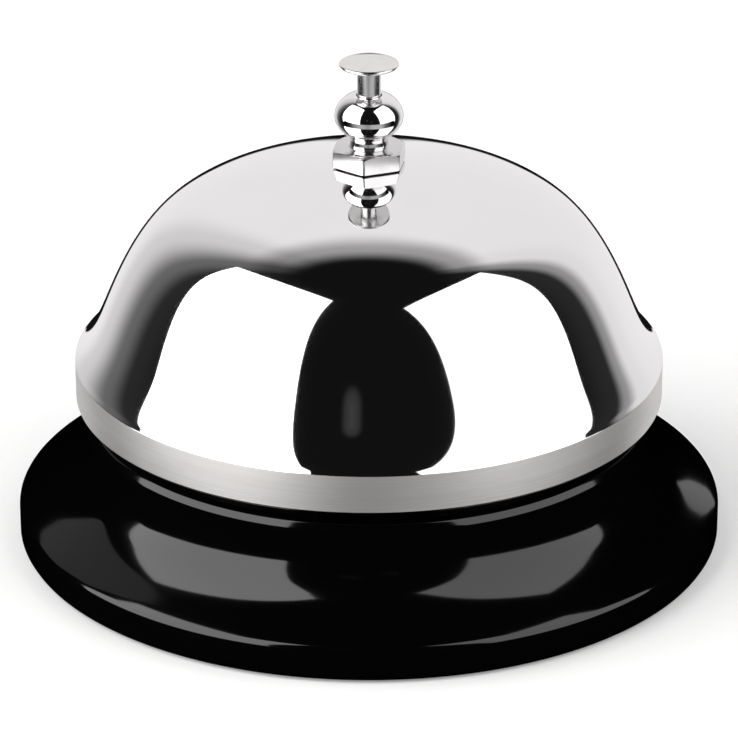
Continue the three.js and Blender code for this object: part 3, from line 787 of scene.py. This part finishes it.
def under_edge(u):
    def point(a):
        h = hexagon(a)
        low = HEX_Z + 0.06 + max(0.0, (h - 4.5)) * 0.7
        r0 = min(h - 0.1, 4.42)
        return (r0 + (h - r0) * u, HEX_Z + (low - HEX_Z) * u)

    return point


t0, t1 = -math.acos(NECK_R / BALL_R), math.acos(LIP_R / BALL_R)
ball = [(BALL_R * math.cos(t0 + (t1 - t0) * i / 48), BALL_Z + BALL_H * math.sin(t0 + (t1 - t0) * i / 48)) for i in range(49)]
top = ball[-1][1]
finial_loop = [
    *rounded([(BORE_R, SHANK_Z, 0.0), (SHANK_R - 0.3, SHANK_Z, 0.05), (SHANK_R, SHANK_Z + 0.3, 0.05), (SHANK_R, HEX_Z - 0.02)], False, 3)[0:],
    (SHANK_R, HEX_Z),
    (3.4, HEX_Z),
    under_edge(0.0),
    under_edge(0.5),
    wall(0.0),
    *[wall(u) for u in (0.04, 0.25, 0.5, 0.75, 0.96)],
    *[on_cone(u) for u in (0.0, 0.08, 0.2, 0.35, 0.5, 0.65, 0.8, 0.9, 1.0)],
    (3.1, HEX_TOP),
    (NECK_R + 0.55, HEX_TOP + 0.01),
    (NECK_R + 0.25, HEX_TOP + 0.08),
    (NECK_R + 0.06, HEX_TOP + 0.26),
    (NECK_R, HEX_TOP + 0.5),
    (NECK_R, HEX_TOP + 0.85),
    *ball[2:-1],
    *rounded([ball[-2], (LIP_R, top, 0.15), (BORE_R + 0.02, top, 0.12), (BORE_R, top - 0.5)], False, 4)[1:],
]
finial_mesh = lathe("finial_turned", finial_loop, 360, True, 28)
piece("finial_turned", finial_mesh, CHROME_SMALL, "stand", "finial_screw", "finial_chrome")
finial_mesh.materials.append(CHROME_SATIN)
for poly in finial_mesh.polygons:
    if poly.center.z / MM < HEX_TOP + 0.75:
        poly.material_index = 1

ROD_R, ROD_BOTTOM, BUTTON_Z, BUTTON_T, BUTTON_R, GROOVE_R = 1.4, 28.2, 59.1, 0.45, 3.55, 1.05
rod_loop = rounded(
    [
        (0, ROD_BOTTOM), (0.75, ROD_BOTTOM, 0.3), (1.15, ROD_BOTTOM + 0.2, 0.3), (ROD_R, ROD_BOTTOM + 0.6, 0.3),
        (ROD_R, 40.35, 0.05), (GROOVE_R, 40.35, 0.05), (GROOVE_R, 40.95, 0.05), (ROD_R, 40.95, 0.05),
        (ROD_R, BUTTON_Z - 0.05, 0.04), (0.9, BUTTON_Z - 0.05), (0.9, BUTTON_Z + 0.15, 0.04), (0, BUTTON_Z + 0.15),
    ],
    False,
    4,
)
piece("plunger_rod_turned", lathe("plunger_rod_turned", rod_loop, 96, False), ROD_STEEL, "plunger", "plunger_rod", "rod_chrome")
button_loop = rounded(
    [
        (0, BUTTON_Z + 0.2), (0.95, BUTTON_Z + 0.2), (0.95, BUTTON_Z, 0.04), (3.36, BUTTON_Z, 0.15), (BUTTON_R, BUTTON_Z + 0.18, 0.12),
        (3.48, BUTTON_Z + 0.36, 0.1), (3.33, BUTTON_Z + BUTTON_T, 0.05), (3.12, BUTTON_Z + BUTTON_T - 0.1, 0.08), (1.2, BUTTON_Z + BUTTON_T - 0.09), (0, BUTTON_Z + BUTTON_T - 0.09),
    ],
    False,
    5,
)
piece("push_button_disc", lathe("push_button_disc", button_loop, 128, False), BUTTON, "plunger", "push_button", "button_chrome")

# ---------------------------------------------------------------- washers, post, bush and rivets
def ring(name, inner, outer, z0, z1, edge=0.08, segments=96):
    return lathe(name, rounded([(inner, z0, edge), (outer, z0, edge), (outer, z1, edge), (inner, z1, edge)], True, 3), segments)


POST_SEAT, POST_BOTTOM, FRAME_TOP = 45.22, 29.8, 34.2
piece("lower_washer_fibre", ring("lower_washer_fibre", 2.65, 5.0, 45.27, 45.77), FIBRE, "stand", "gong_lower_washer", "fibre")
piece("upper_washer_fibre", ring("upper_washer_fibre", 2.65, 3.7, 46.84, 46.96, 0.03), FIBRE, "stand", "gong_upper_washer", "fibre")
piece("spring_cap_turned", ring("spring_cap_turned", 1.46, 2.45, 39.85, 40.3), PLATED, "plunger", "spring_cap_washer", "plated_steel")

thread = []
z = POST_BOTTOM + 0.45
while z < FRAME_TOP - 0.5:
    thread += [(3.5, z), (3.5, z + 0.07), (3.30, z + 0.22), (3.30, z + 0.27), (3.5, z + 0.42)]
    z += 0.5
post_loop = rounded(
    [
        (2.6, POST_BOTTOM, 0.1), (3.2, POST_BOTTOM, 0.05), (3.5, POST_BOTTOM + 0.3), *thread,
        (3.5, FRAME_TOP + 0.05), (5.4, FRAME_TOP + 0.05, 0.1), (5.4, FRAME_TOP + 1.1, 0.15), (5.1, FRAME_TOP + 1.4, 0.15), (4.2, FRAME_TOP + 1.4, 0.15),
        (4.2, POST_SEAT - 0.3, 0.08), (3.9, POST_SEAT, 0.08), (2.6, POST_SEAT, 0.1),
    ],
    True,
    3,
)
piece("post_turned", lathe("post_turned", post_loop, 96), PLATED, "stand", "centre_post", "plated_steel")
bush_loop = rounded([(1.5, 29.1, 0.1), (3.35, 29.1, 0.12), (3.35, 29.75, 0.05), (2.55, 29.75, 0.05), (2.55, 30.6, 0.1), (1.5, 30.6, 0.1)], True, 3)
piece("guide_bush_turned", lathe("guide_bush_turned", bush_loop, 96), BRASS, "stand", "guide_bush", "brass")
rivet_loop = rounded([(0, 14.45), (1.5, 14.5, 0.3), (2.2, 14.9, 0.25), (2.3, 15.25, 0.05), (1.5, 15.25), (1.5, 17.6), (2.7, 17.6, 0.08), (2.45, 18.25, 0.5), (1.6, 18.75, 0.5), (0, 18.95)], False, 4)
for side, which in ((-1, "front"), (1, "rear")):
    piece("rivet_" + which, lathe("rivet_" + which, rivet_loop, 64, False), PLATED, "stand", "frame_rivet_" + which, "plated_steel", at_y(side * RIVET_Y))


def nut_radius(angle):
    total = 0.0
    for k in range(6):
        c = math.cos(angle - math.pi / 3 * k)
        if c > 0:
            total += c**90.0
    return 5.0 / total ** (1 / 90.0)


def nut_point(u, top):
    """Across one chamfered face of the nut, from its flat (u = 0) to the corner of the hexagon (u = 1)."""

    def point(a):
        r = 4.95 + (nut_radius(a) - 4.95) * u
        depth = max(0.0, r - 5.0) * 0.56
        return (r, 32.3 - depth if top else 30.2 + depth)

    return point


nut_loop = [(3.56, 30.3), (3.66, 30.2), *[nut_point(u, False) for u in (0, 0.35, 0.7, 1)], *[nut_point(u, True) for u in (1, 0.7, 0.35, 0)], (3.66, 32.3), (3.56, 32.2)]
piece("nut_plated", lathe("nut_plated", nut_loop, 240, True, 25), PLATED, "stand", "post_nut", "plated_steel")


def open_ring(name, inner, outer, half_gap, thickness, place):
    """Flat retaining ring in the XY plane, its gap towards +X."""
    turn = 2 * math.pi
    outline = arc(0, 0, outer, half_gap, turn - half_gap, 96) + arc(0, 0, inner, turn - half_gap, half_gap, 96)
    mesh = plate(name, [outline], thickness, 0.06, 2)
    mesh.transform(place)
    return mesh


up = lambda z: Matrix.Translation((0, 0, z * MM))
piece("lock_washer_spring", open_ring("lock_washer_spring", 3.56, 5.4, 0.07, 0.6, up(32.35)), SPRING, "stand", "post_lock_washer", "spring_steel")
piece("plunger_clip_spring", open_ring("plunger_clip_spring", 1.10, 2.4, 0.55, 0.5, up(40.4)), SPRING, "plunger", "plunger_clip", "spring_steel")

# ---------------------------------------------------------------- return spring
WIRE, COIL_R, COIL_Z0, COIL_Z1, TURNS, CLOSED = 0.22, 2.05, 30.87, 39.58, 6, 0.5


def coil(t):
    n = t * TURNS
    span = COIL_Z1 - COIL_Z0
    lift = CLOSED * n if n < 1 else span - CLOSED * (TURNS - n) if n > TURNS - 1 else CLOSED + (n - 1) / (TURNS - 2) * (span - 2 * CLOSED)
    a = 2 * math.pi * n
    return Vector((COIL_R * math.cos(a), COIL_R * math.sin(a), COIL_Z0 + lift))


verts, faces, rows = [], [], []
steps, sides_ = 432, 12
for i in range(steps + 1):
    centre = coil(i / steps)
    tangent = (coil(min(1, (i + 1) / steps)) - coil(max(0, (i - 1) / steps))).normalized()
    out_ = Vector((centre.x, centre.y, 0)).normalized()
    out_ = (out_ - tangent * out_.dot(tangent)).normalized()
    over = tangent.cross(out_)
    rows.append(list(range(len(verts), len(verts) + sides_)))
    for j in range(sides_):
        a = 2 * math.pi * j / sides_
        verts.append(tuple(centre + (out_ * math.cos(a) + over * math.sin(a)) * WIRE))
for a, b in zip(rows, rows[1:]):
    for j in range(sides_):
        k = (j + 1) % sides_
        faces.append([a[j], a[k], b[k], b[j]])
faces += [rows[0][::-1], rows[-1]]
spring = piece("return_spring_coil", finish_mesh("return_spring_coil", verts, faces, 60), SPRING, "stand", "return_spring", "spring_steel")
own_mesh(spring)

# ---------------------------------------------------------------- striker hub and head, pivot pin and its clip
PIVOT = (4.9, 25.5)
HEAD_ARM, HEAD_R, HEAD_L, CHEEK, CORE_R, WALL_Y = 21.25, 3.2, 9.0, 0.85, 1.6, 7.0
HEAD_DROP = math.asin(-5.45 / HEAD_ARM)


def across(x, z):
    """Puts a piece turned about Z on the line through (x, z), its axis along -Y."""
    return Matrix.Translation((x * MM, 0, z * MM)) @ Matrix.Rotation(math.pi / 2, 4, "X")


hub_loop = rounded([(1.58, -6.75, 0.1), (2.25, -6.75, 0.1), (2.25, 6.75, 0.1), (1.58, 6.75, 0.1)], True, 3)
piece("striker_hub_turned", lathe("striker_hub_turned", hub_loop, 96), BRASS, "striker", "striker_hub", "brass", across(*PIVOT))
head_loop = rounded(
    [
        (0, -HEAD_L / 2), (HEAD_R - 0.5, -HEAD_L / 2, 0.5), (HEAD_R, -HEAD_L / 2 + 0.5, 0.5), (HEAD_R, -CHEEK, 0.1), (CORE_R, -CHEEK), (CORE_R, CHEEK),
        (HEAD_R, CHEEK, 0.1), (HEAD_R, HEAD_L / 2 - 0.5, 0.5), (HEAD_R - 0.5, HEAD_L / 2, 0.5), (0, HEAD_L / 2),
    ],
    False,
    5,
)
head_place = across(PIVOT[0] + HEAD_ARM * math.cos(HEAD_DROP), PIVOT[1] + HEAD_ARM * math.sin(HEAD_DROP))
piece("striker_head_turned", lathe("striker_head_turned", head_loop, 96, False), BRASS, "striker", "striker_head", "brass", head_place)

FACE = WALL_Y + 1.2 + 0.05
pin_loop = rounded(
    [
        (0, -FACE - 1.1), (1.9, -FACE - 1.1, 0.4), (2.5, -FACE - 0.6, 0.3), (2.5, -FACE, 0.05), (1.5, -FACE), (1.5, FACE + 0.05, 0.04), (1.1, FACE + 0.05),
        (1.1, FACE + 0.65), (1.5, FACE + 0.65, 0.04), (1.5, FACE + 1.2, 0.1), (1.2, FACE + 1.5, 0.1), (0, FACE + 1.5),
    ],
    False,
    4,
)
along_y = Matrix.Translation((PIVOT[0] * MM, 0, PIVOT[1] * MM)) @ Matrix.Rotation(-math.pi / 2, 4, "X")
piece("pivot_pin_turned", lathe("pivot_pin_turned", pin_loop, 64, False), PLATED, "stand", "pivot_pin", "plated_steel", along_y)
clip_place = Matrix.Translation((PIVOT[0] * MM, (FACE + 0.1) * MM, PIVOT[1] * MM)) @ Matrix.Rotation(-math.pi / 2, 4, "X")
piece("pivot_clip_spring", open_ring("pivot_clip_spring", 1.15, 2.8, 0.55, 0.5, clip_place), SPRING, "stand", "pivot_clip", "spring_steel")

# ---------------------------------------------------------------- pieces whose CAD shape stays
for names, material in (
    (("mechanism_frame", "striker_lever"), PLATED),
):
    for n in names:
        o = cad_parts[n]
        if not o.material_slots:
            o.data.materials.append(material)
        for s in o.material_slots:
            s.material = material
